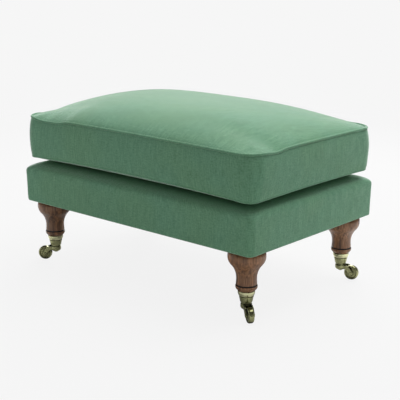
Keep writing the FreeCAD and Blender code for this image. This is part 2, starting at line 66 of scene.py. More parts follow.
# Square soft boxes: a large one overhead, one far back that rims the top and a small one in front on the
# left, each with its place, aim, size and watts
lamps = {
    "overhead": ((0.2, 0.9, 2.4), (0.0, 0.0, 0.3), 2.2, 76.0),
    "far_left": ((-1.4, 2.1, 1.5), (0.0, 0.0, 0.45), 1.2, 50.0),
    "near_left": ((-2.2, -2.0, 1.2), (-0.2, -0.2, 0.3), 0.8, 4.0),
}

# Cushion
piping_radius = 0.0032
piping_unevenness = 0.08
piping_wave_scale = 90.0
piping_sides = 12
seam_tuck = 0.0018
foot_piping_inset = 0.0018
border_bulge = 0.007
border_fullness = 0.55
border_peak_power = 1.2
crown_power_along = 3.1
crown_power_across = 2.27
crown_fullness = 0.8
top_seam_drop = 0.0034
top_seam_corner_droop = 0.0012
top_seam_front_dip = 0.0067
top_seam_front_dip_place = -0.74
top_seam_front_dip_reach = 0.15
top_seam_side_dip = 0.0043
top_seam_side_dip_place = -0.65
top_seam_side_dip_reach = 0.12
top_seam_long_lift = 0.003
top_seam_short_lift = 0.0016
bottom_seam_drop = 0.0022
bottom_seam_long_lift = 0.0105
bottom_seam_short_lift = 0.0034
cushion_corner = 0.048
cushion_foot_corner = 0.031
sag_powers = (0.8, 0.8, 1.2)
sag_corner_growth = 0.06

# Upholstered base
base_corner = 0.017
base_edge_round = 0.005
base_foot_inset = 0.0008
base_shoulder_swell = 0.0014
base_wall_height = 0.0845
base_dome_powers = (0.667, 0.667, 0.667)
base_dome_corner_growth = 0.06
platform_length = 0.52
platform_width = 0.23
hem_width = 0.035
cover_thickness = 0.0015

# Zip in the back of the border
zip_lip = 0.0035
zip_recess = 0.0005
zip_tape_thickness = 0.0012
zip_tape_easing = 0.0003
zip_tooth_pitch = 0.0016
zip_tooth_half_share = 0.42
zip_tooth_reach = 0.002
zip_tooth_overlap = 0.0004
zip_tooth_root = 0.0003
zip_tooth_easing = 0.0002
zip_slider_length = 0.01
zip_slider_inset = 0.0003
zip_slider_slot = 0.0007
zip_pull_width = 0.005
zip_pull_thickness = 0.001
zip_pull_gap = 0.0005
zip_bridge_width = 0.0018
zip_bridge_height = 0.0006
zip_bridge_ends = (0.0012, 0.0015)

# Dust cover and its staples
dust_sheet_sag = 0.003
dust_sheet_ripple = 0.0005
dust_ripple_waves = (9.0, 6.0)
staple_pitch = 0.04
staple_inset = 0.006
staple_length = 0.011
staple_wire = 0.0012

# Unevenness of the stuffed cloth, and the small puckers along its seams; scales in waves a metre
soft_depth = 0.0009
soft_scale = 14.0
soft_fine_scale = 34.0
soft_fine_share = 0.5
soft_upright_stretch = 1.6
pucker_depth = 0.0011
pucker_reach = 0.013
pucker_scale = 75.0
pucker_upright_scale = 18.0
seam_hold = 0.004
shoulder_hold = 0.006
base_unevenness = 1.6
base_seed = 5.0

# How finely forms are meshed; soft ones have cells on their long and short straights and in each corner
oval_cells = 32
soft_cells = (140, 84, 10)
border_rows = 30
dome_rows = 14
foot_rows = 5
wall_rows = 10

# Cover fabric: pitch of its threads, and how often its streaks come along warp and weft, per metre
thread_pitch = 0.0011
warp_streaks = (520.0, 60.0, 1.0)
weft_streaks = (60.0, 520.0, 1.0)
slub_streaks = (230.0, 20.0, 1.0)
nap_scale = 260.0
fade_scale = 7.0

# How near something has to be for the painted shade in a crevice of cloth and of brass
cloth_crevice_reach = 0.045
brass_crevice_reach = 0.013

# Colours, as a plain surface shows them (linear)
green_light = (0.152, 0.312, 0.194)
green_dark = (0.078, 0.177, 0.104)
# Painted shade: the deeper green that the cover takes deep in its crevices
green_crevice_shade = (0.120, 0.285, 0.158)
green_sheen = (0.84, 1.0, 0.88, 1.0)
fade_cool = (0.985, 1.0, 1.03)
fade_warm = (1.015, 1.0, 0.98)
walnut_mid = (0.185, 0.083, 0.032)
walnut_dark = (0.058, 0.025, 0.010)
walnut_light = (0.335, 0.160, 0.072)
walnut_burnt = (0.008, 0.005, 0.004)
# Painted highlight: the lighter brass of the cup's band
brass_band_highlight = (0.63, 0.62, 0.37)
brass_light = (0.345, 0.35, 0.18)
# brass_dark is the patina, and the painted shade in crevices and in the groove under the cup's band
brass_dark = (0.05, 0.05, 0.025)
timber_dark = (0.42, 0.27, 0.13)
timber_light = (0.62, 0.45, 0.26)


# Helpers for shader nodes


def add(tree, kind, inputs=None, **settings):
    """A shader node with its settings, and its inputs given as values or as sockets to link."""
    made = tree.nodes.new("ShaderNode" + kind)
    for name, value in settings.items():
        setattr(made, name, value)
    for key, value in (inputs or {}).items():
        if isinstance(value, bpy.types.NodeSocket):
            tree.links.new(value, made.inputs[key])
        else:
            made.inputs[key].default_value = value
    return made


def calc(tree, operation, first, second=0.0):
    """One sum on two values or sockets."""
    return add(tree, "Math", {0: first, 1: second}, operation=operation).outputs[0]


def weighed(tree, first, share, second):
    """Two values added by their shares, which make one together."""
    first = calc(tree, "MULTIPLY", first, share)
    return calc(tree, "ADD", first, calc(tree, "MULTIPLY", second, 1 - share))


def mix(tree, share, first, second, way="MIX"):
    """Two colours mixed by a share."""
    colours = {0: share, 6: solid(first), 7: solid(second)}
    return add(tree, "Mix", colours, data_type="RGBA", blend_type=way, clamp_factor=True).outputs[2]


def solid(colour):
    """A colour with full alpha, or a socket as it is."""
    return colour if isinstance(colour, bpy.types.NodeSocket) else (*colour, 1.0)


def grey(tone):
    """A neutral colour with full alpha."""
    return (tone, tone, tone, 1.0)


def span(tree, value, low, high, to_low=0.0, to_high=1.0):
    """A value read between two marks, smoothed and held at the ends."""
    marks = {"Value": value, "From Min": low, "From Max": high, "To Min": to_low, "To Max": to_high}
    return add(tree, "MapRange", marks, interpolation_type="SMOOTHSTEP").outputs[0]


def clouds(tree, coords, scale, detail=3.0, roughness=0.5, distortion=0.0, stretch=None):
    """Smooth noise from 0 to 1, over coordinates that may be scaled by another amount on each axis."""
    if stretch is not None:
        coords = add(tree, "Mapping", {"Vector": coords, "Scale": stretch}).outputs[0]
    inputs = {"Vector": coords, "Scale": scale, "Detail": detail, "Roughness": roughness,
              "Distortion": distortion}
    return add(tree, "TexNoise", inputs).outputs[0]


def bump(tree, height, distance, strength, under=None):
    """Normals from a height, over another bump if there is one."""
    inputs = {"Height": height, "Distance": distance, "Strength": strength}
    if under is not None:
        inputs["Normal"] = under
    return add(tree, "Bump", inputs).outputs[0]


def openness(tree, reach, samples):
    """1 where nothing is near, towards 0 deep in a crevice."""
    return add(tree, "AmbientOcclusion", {"Distance": reach}, samples=samples).outputs["AO"]


def object_coords(tree):
    """Coordinates in the object's own frame, which is the stool's."""
    return add(tree, "TexCoord").outputs["Object"]


def above(tree, coords, level):
    """Height over a level."""
    return calc(tree, "SUBTRACT", add(tree, "SeparateXYZ", {0: coords}).outputs[2], level)


def bare_material(name):
    """A material with nothing in it, and its node tree."""
    material = bpy.data.materials.new(name)
    material.use_nodes = True
    material.node_tree.nodes.clear()
    return material, material.node_tree


def new_material(name):
    """A material, its node tree and its main shader."""
    material, tree = bare_material(name)
    shader = add(tree, "BsdfPrincipled")
    add(tree, "OutputMaterial", {"Surface": shader.outputs[0]})
    return material, tree, shader


def dress(tree, shader, **values):
    """Links what varies to the shader's sockets and sets what is the same all over."""
    for name, value in values.items():
        socket = shader.inputs[name.replace("_", " ")]
        if isinstance(value, bpy.types.NodeSocket):
            tree.links.new(value, socket)
        else:
            socket.default_value = value


# Materials


def plain_weave(tree, coords, pitch):
    """Height of a plain weave: a pillow wherever one thread passes over another."""
    parts = add(tree, "SeparateXYZ", {0: coords}).outputs
    waves = [calc(tree, "SINE", calc(tree, "MULTIPLY", parts[axis], math.pi / pitch)) for axis in (0, 1)]
    crossing = calc(tree, "ABSOLUTE", calc(tree, "MULTIPLY", waves[0], waves[1]))
    return calc(tree, "POWER", crossing, 0.6)


def cover_fabric():
    """Green plain weave with uneven threads and a brushed, slightly shiny face; painted shade turns it a
    deeper green and takes its sheen away in its crevices.
    """
    material, tree, shader = new_material("cover_fabric")
    coords = add(tree, "UVMap", uv_map="cloth").outputs[0]
    weave = plain_weave(tree, coords, thread_pitch)
    kinds = (warp_streaks, weft_streaks, slub_streaks)
    warp, weft, slubs = [clouds(tree, coords, 1.0, 2.0, stretch=streaks) for streaks in kinds]
    threads = weighed(tree, weighed(tree, warp, 0.5, weft), 0.65, slubs)
    tone = weighed(tree, threads, 0.7, clouds(tree, coords, nap_scale))
    colour = mix(tree, span(tree, tone, 0.32, 0.68), green_dark, green_light)
    fade = clouds(tree, object_coords(tree), fade_scale, 2.0)
    colour = mix(tree, 1.0, colour, mix(tree, span(tree, fade, 0.35, 0.65), fade_cool, fade_warm), "MULTIPLY")
    # Painted shade: 1 in the open, towards 0 in crevices, where the colour turns deeper green and the sheen
    # goes
    unshaded_share = span(tree, openness(tree, cloth_crevice_reach, 8), 0.0, 0.65)
    low = bump(tree, tone, 0.0007, 0.6)
    dress(tree, shader, Base_Color=mix(tree, unshaded_share, green_crevice_shade, colour), Roughness=0.86,
          Normal=bump(tree, weave, 0.00025, 0.5, low), Sheen_Weight=unshaded_share, Sheen_Roughness=0.3,
          Sheen_Tint=green_sheen, Specular_IOR_Level=0.12)
    return material


def walnut():
    """Dark stained walnut under polish, with its grain along the leg, burnt black in the groove."""
    material, tree, shader = new_material("walnut")
    coords = object_coords(tree)
    warped = clouds(tree, coords, 22.0, 3.0, 0.55, 0.6, stretch=(1.0, 1.0, 0.12))
    rings = clouds(tree, coords, 210.0, 4.0, 0.6, 0.8, stretch=(1.0, 1.0, 0.04))
    pores = clouds(tree, coords, 900.0, 2.0, 0.6, stretch=(1.0, 1.0, 0.035))
    grain = weighed(tree, warped, 0.4, rings)
    colour = mix(tree, span(tree, grain, 0.38, 0.52), walnut_dark, walnut_mid)
    colour = mix(tree, span(tree, grain, 0.5, 0.62), colour, walnut_light)
    dashes = span(tree, pores, 0.56, 0.68)
    colour = mix(tree, calc(tree, "MULTIPLY", dashes, 0.55), colour, walnut_dark)
    groove_z = leg_foot_z + leg_groove_height + leg_groove_width / 2
    off_groove = calc(tree, "ABSOLUTE", above(tree, coords, groove_z))
    unburnt = span(tree, off_groove, leg_groove_width * 0.4, leg_groove_width * 1.1)
    dress(tree, shader, Base_Color=mix(tree, unburnt, walnut_burnt, colour),
          Roughness=span(tree, rings, 0.3, 0.7, 0.34, 0.48),
          Normal=bump(tree, calc(tree, "SUBTRACT", grain, dashes), 0.0003, 0.35),
          Coat_Weight=0.15, Coat_Roughness=0.2, Specular_IOR_Level=0.4)
    return material


def antique_brass():
    """Aged brass: satin where it is handled and dull in its crevices, darkened there by patina and by painted
    shade, with painted shade in the groove under the band and a painted highlight on the band of the cup.
    """
    material, tree, shader = new_material("antique_brass")
    coords = object_coords(tree)
    patina = span(tree, clouds(tree, coords, 60.0), 0.2, 0.6, 0.7, 1.0)
    # Painted shade: the brass turns towards brass_dark in its crevices, on top of the random patina
    unshaded_share = span(tree, openness(tree, brass_crevice_reach, 16), 0.35, 0.95)
    clear_of_patina_and_shade = calc(tree, "MULTIPLY", patina, unshaded_share)
    band_z = cup_high_z - cup_band_height
    # Painted highlight: the band above band_z is painted the lighter brass
    band_highlight = span(tree, above(tree, coords, band_z), -0.0005, 0.0005)
    colour = mix(tree, clear_of_patina_and_shade, brass_dark, mix(tree, band_highlight, brass_light, brass_band_highlight))
    # Painted shade: the groove under the band is painted brass_dark
    off_groove = calc(tree, "ABSOLUTE", above(tree, coords, band_z - cup_groove_height / 2))
    groove_unshaded = span(tree, off_groove, cup_groove_height * 0.3, cup_groove_height * 0.6)
    dress(tree, shader, Base_Color=mix(tree, groove_unshaded, brass_dark, colour),
          Roughness=span(tree, clear_of_patina_and_shade, 0.0, 1.0, 0.42, 0.26),
          Normal=bump(tree, clouds(tree, coords, 520.0, 3.0, 0.6), 0.00002, 0.1), Metallic=1.0)
    return material


def sawn_timber():
    """Pale sawn softwood, for the frame inside."""
    material, tree, shader = new_material("frame_timber")
    grain = clouds(tree, object_coords(tree), 90.0, 5.0, 0.6, 0.8, stretch=(0.25, 0.25, 1.0))
    colour = mix(tree, span(tree, grain, 0.35, 0.65), timber_dark, timber_light)
    dress(tree, shader, Base_Color=colour, Roughness=0.72, Normal=bump(tree, grain, 0.0004, 0.5))
    return material


def coarse_cloth(name, dark, light, pitch):
    """Plain coarse weave worked out from the object's own frame, for what lies flat inside."""
    material, tree, shader = new_material(name)
    coords = object_coords(tree)
    fibres = clouds(tree, coords, 240.0, 4.0, 0.65)
    weave = plain_weave(tree, coords, pitch)
    tone = calc(tree, "MULTIPLY", weave, span(tree, fibres, 0.2, 0.7, 0.5, 1.0))
    dress(tree, shader, Base_Color=mix(tree, tone, dark, light), Roughness=0.9,
          Normal=bump(tree, tone, 0.0005, 0.8))
    return material


def mottled_metal(name, dark, light, scale, gloss):
    """Metal with a faint mottle, between two roughnesses."""
    material, tree, shader = new_material(name)
    mottle = clouds(tree, object_coords(tree), scale)
    dress(tree, shader, Base_Color=mix(tree, mottle, dark, light),
          Roughness=span(tree, mottle, 0.3, 0.7, *gloss), Metallic=1.0)
    return material


# Meshes


class Skin:
    """A mesh sewn from bands and grids of points, which knows where each corner lies on the flat cloth."""

    def __init__(self):
        self.points = []
        self.faces = []
        self.flat = []

    def add(self, points):
        start = len(self.points)
        self.points.extend(points)
        return list(range(start, len(self.points)))

    def face(self, corners, flat):
        self.faces.append(corners)
        self.flat.append(flat)

    def grid(self, rows, flip=False):
        """Faces over rows of point numbers, cut flat in plan."""
        for near, far in zip(rows, rows[1:]):
            for index in range(len(near) - 1):
                corners = [near[index], near[index + 1], far[index + 1], far[index]]
                if flip:
                    corners.reverse()
                self.face(corners, [tuple(self.points[corner][:2]) for corner in corners])

    def band(self, lower, upper, along, low_v, high_v):
        """Faces between two closed rings; along holds the cloth's length round them."""
        count = len(lower)
        for index in range(count):
            following = (index + 1) % count
            corners = [lower[index], lower[following], upper[following], upper[index]]
            start, end = along[index], along[index + 1]
            self.face(corners, [(start, low_v), (end, low_v), (end, high_v), (start, high_v)])

    def mesh(self, name):
        """The finished mesh, with its flat places as UVs."""
        made = bpy.data.meshes.new(name)
        made.from_pydata([tuple(point) for point in self.points], [], self.faces)
        layer = made.uv_layers.new(name="cloth")
        layer.data.foreach_set("uv", [value for flat in self.flat for place in flat for value in place])
        smoothed(made, 60)
        made.validate()
        return made


def smoothed(mesh, sharp_angle):
    """The mesh, smooth except where it turns by more degrees than that."""
    mesh.shade_smooth()
    mesh.set_sharp_from_angle(angle=math.radians(sharp_angle))
    return mesh


def mesh_from(name, points, faces):
    """A new mesh, checked."""
    mesh = bpy.data.meshes.new(name)
    mesh.from_pydata([tuple(point) for point in points], [], faces)
    mesh.validate()
    return mesh


def linked(name, data):
    """A new object in the scene."""
    made = bpy.data.objects.new(name, data)
    bpy.context.scene.collection.objects.link(made)
    return made


def placed(name, mesh, body, slot, *nodes):
    """A finished piece on its body, with its slot's material and the CAD nodes that it stands for."""
    mesh.materials.clear()
    mesh.materials.append(materials[slot])
    piece = linked(name, mesh)
    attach(piece, body)
    if nodes:
        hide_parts(*nodes)
    return piece


def modify(thing, kind, **settings):
    """Gives an object a modifier with its settings."""
    made = thing.modifiers.new(kind.lower(), kind)
    for name, value in settings.items():
        setattr(made, name, value)


def baked_mesh(thing):
    """The mesh as its modifiers leave it, and the object goes."""
    graph = bpy.context.evaluated_depsgraph_get()
    mesh = bpy.data.meshes.new_from_object(thing.evaluated_get(graph))
    bpy.data.objects.remove(thing)
    return mesh


def joined_mesh(name, meshes):
    """Several meshes as one, each still a closed shell."""
    points = []
    faces = []
    for mesh in meshes:
        start = len(points)
        points += [vertex.co for vertex in mesh.vertices]
        faces += [[start + corner for corner in polygon.vertices] for polygon in mesh.polygons]
    return mesh_from(name, points, faces)


def grid_lines(size, corner, straight_cells, corner_cells):
    """Lines across one side of a rounded rectangle, closer together in its corners."""
    half = size / 2
    ramp = [corner * step / corner_cells for step in range(corner_cells)]
    straight = size - 2 * corner
    lines = [step - half for step in ramp]
    lines += [corner - half + straight * step / straight_cells for step in range(straight_cells)]
    return lines + [half - corner + step for step in ramp] + [half]


def rounded_plan(x, y, length, width, corner):
    """A place in a square-cornered plan, moved to the same plan with round corners."""
    deep_x = abs(x) - (length / 2 - corner)
    deep_y = abs(y) - (width / 2 - corner)
    if deep_x <= 0 or deep_y <= 0:
        return x, y
    reach = max(deep_x, deep_y)
    turn = math.pi / 4 * min(deep_x, deep_y) / reach
    near = reach * math.cos(turn)
    far = reach * math.sin(turn)
    if deep_x < deep_y:
        near, far = far, near
    return math.copysign(length / 2 - corner + near, x), math.copysign(width / 2 - corner + far, y)


def plan_point(x, y, length, width, corner, height):
    """A point of the rounded plan at the height worked out from its place, -1 to 1 both ways."""
    place = rounded_plan(x, y, length, width, corner)
    return Vector((*place, height(2 * x / length, 2 * y / width)))


def cap(size, corner, height):
    """Rows of points over a rounded rectangle."""
    length, width = size
    xs = grid_lines(length, corner, soft_cells[0], soft_cells[2])
    ys = grid_lines(width, corner, soft_cells[1], soft_cells[2])
    return [[plan_point(x, y, length, width, corner, height) for x in xs] for y in ys]


def rim(rows):
    """What lies round the edge of a cap's rows, anticlockwise from its front left corner."""
    front = rows[0][:-1]
    right = [row[-1] for row in rows[:-1]]
    back = rows[-1][:0:-1]
    left = [row[0] for row in rows[:0:-1]]
    return front + right + back + left


def ring(size, corner, height):
    """The edge of such a cap by itself."""
    length, width = size
    xs = grid_lines(length, corner, soft_cells[0], soft_cells[2])
    ys = grid_lines(width, corner, soft_cells[1], soft_cells[2])
    plan = rim([[(x, y) for x in xs] for y in ys])
    return [plan_point(x, y, length, width, corner, height) for x, y in plan]


def lengths_round(points):
    """Running length round a closed ring of points, with the whole length at its end."""
    total = 0.0
    along = [0.0]
    for index, point in enumerate(points):
        total += (points[(index + 1) % len(points)] - point).length
        along.append(total)
    return along


def smooth_step(value, low, high):
    """0 below the low mark, 1 above the high one, smooth between."""
    share = min(max((value - low) / (high - low), 0.0), 1.0)
    return share * share * (3 - 2 * share)


def rounded_profile(corners, arc_step=9):
    """Points of an outline through corners (across, up, rounding), each rounded in arcs of some degrees."""
    points = []
    for index, (across, up, radius) in enumerate(corners):
        here = Vector((across, up))
        if radius == 0:
            points.append(here)
            continue
        back = (Vector(corners[index - 1][:2]) - here).normalized()
        ahead = (Vector(corners[(index + 1) % len(corners)][:2]) - here).normalized()
        half_angle = back.angle(ahead) / 2
        reach = radius / math.tan(half_angle)
        centre = here + (back + ahead).normalized() * (radius / math.sin(half_angle))
        arm = here + back * reach - centre
        end = here + ahead * reach - centre
        turn = arm.angle_signed(end)
        steps = max(2, math.ceil(abs(turn) / math.radians(arc_step)))
        for step in range(steps + 1):
            angle = -turn * step / steps
            swung = Vector((
                arm.x * math.cos(angle) - arm.y * math.sin(angle),
                arm.x * math.sin(angle) + arm.y * math.cos(angle)))
            points.append(centre + swung)
    return points


def lathe_mesh(name, profile, segments, place=None):
    """A mesh turned about the Z axis from profile points (radius, height), then moved by a matrix."""
    points = []
    rings = []
    for radius, height in profile:
        if radius < 1e-7:
            points.append(Vector((0, 0, height)))
            rings.append([len(points) - 1] * segments)
            continue
        start = len(points)
        for step in range(segments):
            angle = 2 * math.pi * step / segments
            points.append(Vector((radius * math.cos(angle), radius * math.sin(angle), height)))
        rings.append(list(range(start, start + segments)))
    faces = []
    for lower, upper in zip(rings, rings[1:]):
        for step in range(segments):
            following = (step + 1) % segments
            corners = []
            for corner in (lower[step], lower[following], upper[following], upper[step]):
                if corner not in corners:
                    corners.append(corner)
            if len(corners) > 2:
                faces.append(corners)
    if place is not None:
        points = [place @ point for point in points]
    return smoothed(mesh_from(name, points, faces), 50)


def plate_mesh(name, outer, low_y, high_y, hole=None):
    """An upright plate between two planes, whole or with a hole of as many points as its outline."""
    count = len(outer)
    loops = [outer] if hole is None else [outer, hole]
    layer = count * len(loops)
    points = [(u, y, w) for y in (low_y, high_y) for loop in loops for u, w in loop]
    faces = [] if hole else [list(range(count)), list(range(2 * count - 1, count - 1, -1))]
    for index in range(count):
        following = (index + 1) % count
        faces.append([following, index, index + layer, following + layer])
        if hole:
            near = [index, following, following + count, index + count]
            bore = [index + count, following + count, following + count + layer, index + count + layer]
            faces += [near, [corner + layer for corner in reversed(near)], bore]
    return mesh_from(name, points, faces)


def superellipse(middle, half_width, half_height, squareness):
    """Points round an oval that is squarer the higher its power."""
    points = []
    for step in range(oval_cells):
        turn = 2 * math.pi * step / oval_cells
        across = math.copysign(abs(math.cos(turn)) ** (2 / squareness), math.cos(turn))
        up = math.copysign(abs(math.sin(turn)) ** (2 / squareness), math.sin(turn))
        points.append((middle[0] + half_width * across, middle[1] + half_height * up))
    return points


def blocks_mesh(name, blocks, easing):
    """One mesh of many small blocks (low corner, high corner), each with its edges eased."""
    block_faces = [(0, 1, 3, 2), (4, 6, 7, 5), (0, 4, 5, 1), (2, 3, 7, 6), (0, 2, 6, 4), (1, 5, 7, 3)]
    points = []
    faces = []
    for low, high in blocks:
        faces += [[len(points) + corner for corner in face] for face in block_faces]
        points += [(x, y, z) for x in (low[0], high[0]) for y in (low[1], high[1]) for z in (low[2], high[2])]
    raw = linked(name + "_raw", mesh_from(name, points, faces))
    modify(raw, "BEVEL", width=easing, segments=2)
    return smoothed(baked_mesh(raw), 40)


def node_middle(name):
    """Middle of a CAD node's box."""
    low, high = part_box(name)
    return (Vector(low) + Vector(high)) / 2


def node_size(name):
    """Size of a CAD node's box on each axis."""
    low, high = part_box(name)
    return Vector(high) - Vector(low)


def ruffled(points, seam_reach, seed=0.0, unevenness=1.0):
    """A ring moved in and out, softly all over and in small puckers close to the seam."""
    near_seam = unevenness * math.exp(-seam_reach / pucker_reach)
    ease = min(1.0, seam_reach / seam_hold)
    moved = []
    for index, point in enumerate(points):
        way = points[(index + 1) % len(points)] - points[index - 1]
        outward = Vector((way.y, -way.x, 0)).normalized()
        coarse = Vector((point.x, point.y, point.z * soft_upright_stretch + seed)) * soft_scale
        fine = Vector((point.x, point.y, point.z + seed)) * soft_fine_scale
        soft = noise.noise(coarse) + soft_fine_share * noise.noise(fine)
        pucker = noise.noise(Vector((
            point.x * pucker_scale, point.y * pucker_scale, point.z * pucker_upright_scale + seed)))
        moved.append(point + outward * ease * (soft_depth * soft + pucker_depth * pucker * near_seam))
    return moved


# Cushion

cushion_length = node_size("piping_top").x - 2 * piping_radius
cushion_width = node_size("piping_top").y - 2 * piping_radius
cushion_foot_length = node_size("piping_bottom").x - 2 * piping_radius
cushion_foot_width = node_size("piping_bottom").y - 2 * piping_radius
top_seam_z = node_middle("piping_top").z
bottom_seam_z = node_middle("piping_bottom").z
crown_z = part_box("cushion_panel_top")[1][2]
cushion_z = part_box("cushion_panel_bottom")[0][2]
zip_z = node_middle("zip_chain").z
zip_half_length = node_size("zip_chain").x / 2
zip_half_width = node_size("zip_chain").z / 2
zip_face_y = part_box("zip_chain")[0][1]
zip_high_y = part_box("zip_chain")[1][1]


def seam_lift(u, v, long_lift, short_lift):
    """How far a seam rises between its corners, on the long and on the short sides."""
    return long_lift * (1 - u * u) * v * v + short_lift * (1 - v * v) * u * u


def top_seam_height(u, v):
    """Height of the top seam: it sinks at its front left and back right corners, and dips near the left end
    of the long sides and near the front of the short ones."""
    droop = top_seam_corner_droop * max(0.0, u * v) ** 4
    beside_left = (u - top_seam_front_dip_place) / top_seam_front_dip_reach
    beside_front = (v - top_seam_side_dip_place) / top_seam_side_dip_reach
    front_dip = top_seam_front_dip * v * v * math.exp(-beside_left ** 4)
    side_dip = top_seam_side_dip * u * u * math.exp(-beside_front ** 2)
    lift = seam_lift(u, v, top_seam_long_lift, top_seam_short_lift)
    return top_seam_z - top_seam_drop - droop - front_dip - side_dip + lift


def bottom_seam_height(u, v):
    return bottom_seam_z - bottom_seam_drop + seam_lift(u, v, bottom_seam_long_lift, bottom_seam_short_lift)


def crown_height(u, v):
    """Height of the crowned top at a place from -1 to 1 both ways."""
    along = max(0.0, 1 - abs(u) ** crown_power_along) ** crown_fullness
    across = max(0.0, 1 - abs(v) ** crown_power_across) ** crown_fullness
    rise = crown_z - top_seam_z + top_seam_drop
    return top_seam_height(u, v) + rise * along * across


def border_ring(share):
    """One row of the border, from 0 at the bottom seam to 1 at the top one."""
    swell = max(0.0, math.sin(math.pi * share ** border_peak_power)) ** border_fullness
    tuck = seam_tuck * share
    out = (border_bulge + tuck) * swell - tuck
    length = cushion_foot_length + (cushion_length - cushion_foot_length) * share + 2 * out
    width = cushion_foot_width + (cushion_width - cushion_foot_width) * share + 2 * out
    corner = cushion_foot_corner + (cushion_corner - cushion_foot_corner) * share + out

    def height(u, v):
        low = bottom_seam_height(u, v)
        return low + (top_seam_height(u, v) - low) * share

    seam_reach = min(share, 1 - share) * (top_seam_z - bottom_seam_z)
    points = ruffled(ring((length, width), corner, height), seam_reach)
    for point in points:
        if point.y > 0:
            off_zip = abs(point.z - zip_z)
            level = 1 - smooth_step(off_zip, zip_half_width - zip_lip, zip_half_width + zip_lip)
            end = 1 - smooth_step(abs(point.x), zip_half_length, zip_half_length + 2 * zip_lip)
            point.y -= (point.y - zip_face_y + zip_recess) * level * end
    return points


def drawn_in_ring(turn, full_size, corner, growth, powers):
    """Size, corner and drop of a row drawn in to the platform's edge, from turn 0 to a quarter turn."""
    along, across, upward = powers
    length = platform_length + (full_size[0] - platform_length) * math.cos(turn) ** along
    width = platform_width + (full_size[1] - platform_width) * math.cos(turn) ** across
    drawn_in = max(0.0, 1 - math.cos(turn) ** along)
    return (length, width), corner + growth * math.sqrt(drawn_in), math.sin(turn) ** upward


def sag_ring(turn):
    """One row of the underside, from the bottom seam at turn 0 to the flat it rests on at a quarter turn."""
    foot_size = (cushion_foot_length, cushion_foot_width)
    size, corner, fall = drawn_in_ring(turn, foot_size, cushion_foot_corner, sag_corner_growth, sag_powers)

    def height(u, v):
        return bottom_seam_height(u, v) * (1 - fall) + cushion_z * fall

    return size, corner, height


def cushion_cover():
    """The whole cushion: crowned top, swelling border and sagging underside, creased at both seams."""
    skin = Skin()
    top_size = (cushion_length - 2 * seam_tuck, cushion_width - 2 * seam_tuck)
    top = [skin.add(row) for row in cap(top_size, cushion_corner - seam_tuck, crown_height)]
    skin.grid(top)
    rows = [skin.add(border_ring(row / border_rows)) for row in range(border_rows)] + [rim(top)]
    along = lengths_round([skin.points[corner] for corner in rows[border_rows // 2]])
    rise = (top_seam_z - bottom_seam_z) / border_rows
    for index, (lower, upper) in enumerate(zip(rows, rows[1:])):
        skin.band(lower, upper, along, index * rise, (index + 1) * rise)
    flat = [skin.add(row) for row in cap(*sag_ring(math.pi / 2))]
    skin.grid(flat, flip=True)
    turns = [math.pi / 2 * row / dome_rows for row in range(dome_rows - 1, 0, -1)]
    sags = [skin.add(ring(*sag_ring(turn))) for turn in turns]
    for lower, upper in zip([rim(flat)] + sags, sags + [rows[0]]):
        skin.band(lower, upper, along, 0.0, 0.01)
    cover = placed(
        "cushion_cover", skin.mesh("cushion_cover"), "cushion", "cover_fabric", "cushion_foam",
        "cushion_fibre_top", "cushion_fibre_bottom", "cushion_panel_top", "cushion_panel_bottom",
        "cushion_border")


def piping_tube(node, size, corner, height):
    """Piping round one seam, with its strip of cloth cut on the bias."""
    path = ring(size, corner, height)
    along = lengths_round(path)
    skin = Skin()
    rings = []
    for index, point in enumerate(path):
        way = (path[(index + 1) % len(path)] - path[index - 1]).normalized()
        beside = way.cross(Vector((0, 0, 1))).normalized()
        up = beside.cross(way)
        radius = piping_radius * (1 + piping_unevenness * noise.noise(point * piping_wave_scale))
        turns = [2 * math.pi * side / piping_sides for side in range(piping_sides)]
        rings.append(skin.add([
            point + (beside * math.cos(turn) + up * math.sin(turn)) * radius for turn in turns]))
    for index, (near, far) in enumerate(zip(rings, rings[1:] + rings[:1])):
        start, end = along[index], along[index + 1]
        for side in range(piping_sides):
            following = (side + 1) % piping_sides
            flat = []
            for length, turn in ((start, side), (start, side + 1), (end, side + 1), (end, side)):
                across = 2 * math.pi * piping_radius * turn / piping_sides
                flat.append(((length + across) / math.sqrt(2), (length - across) / math.sqrt(2)))
            skin.face([near[side], near[following], far[following], far[side]], flat)
    placed(node + "_cord", skin.mesh(node + "_cord"), "cushion", "cover_fabric", node)


# Upholstered base

base_length = node_size("base_cover").x
base_width = node_size("base_cover").y
base_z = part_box("base_cover")[0][2]
platform_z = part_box("base_cover")[1][2]
shoulder_z = base_z + base_wall_height


def base_rows():
    """Rows of the cover (size, corner, height), from the hem under the rails to the edge of the platform."""
    rows = [((base_length - 2 * hem_width, base_width - 2 * hem_width), base_corner / 2, base_z)]
    sides = []
    for step in range(foot_rows + 1):
        turn = math.pi / 2 * step / foot_rows
        inset = base_foot_inset + base_edge_round * (1 - math.sin(turn))
        sides.append((inset, base_z + base_edge_round * (1 - math.cos(turn))))
    wall_low = base_z + base_edge_round
    for step in range(1, wall_rows + 1):
        inset = base_foot_inset - (base_foot_inset + base_shoulder_swell) * step / wall_rows
        sides.append((inset, wall_low + (shoulder_z - wall_low) * step / wall_rows))
    for inset, height in sides:
        rows.append(((base_length - 2 * inset, base_width - 2 * inset), base_corner - inset, height))
    full_size = (base_length + 2 * base_shoulder_swell, base_width + 2 * base_shoulder_swell)
    for step in range(1, dome_rows):
        size, corner, rise = drawn_in_ring(
            math.pi / 2 * step / dome_rows, full_size, base_corner, base_dome_corner_growth, base_dome_powers)
        rows.append((size, corner, shoulder_z + (platform_z - shoulder_z) * rise))
    return rows


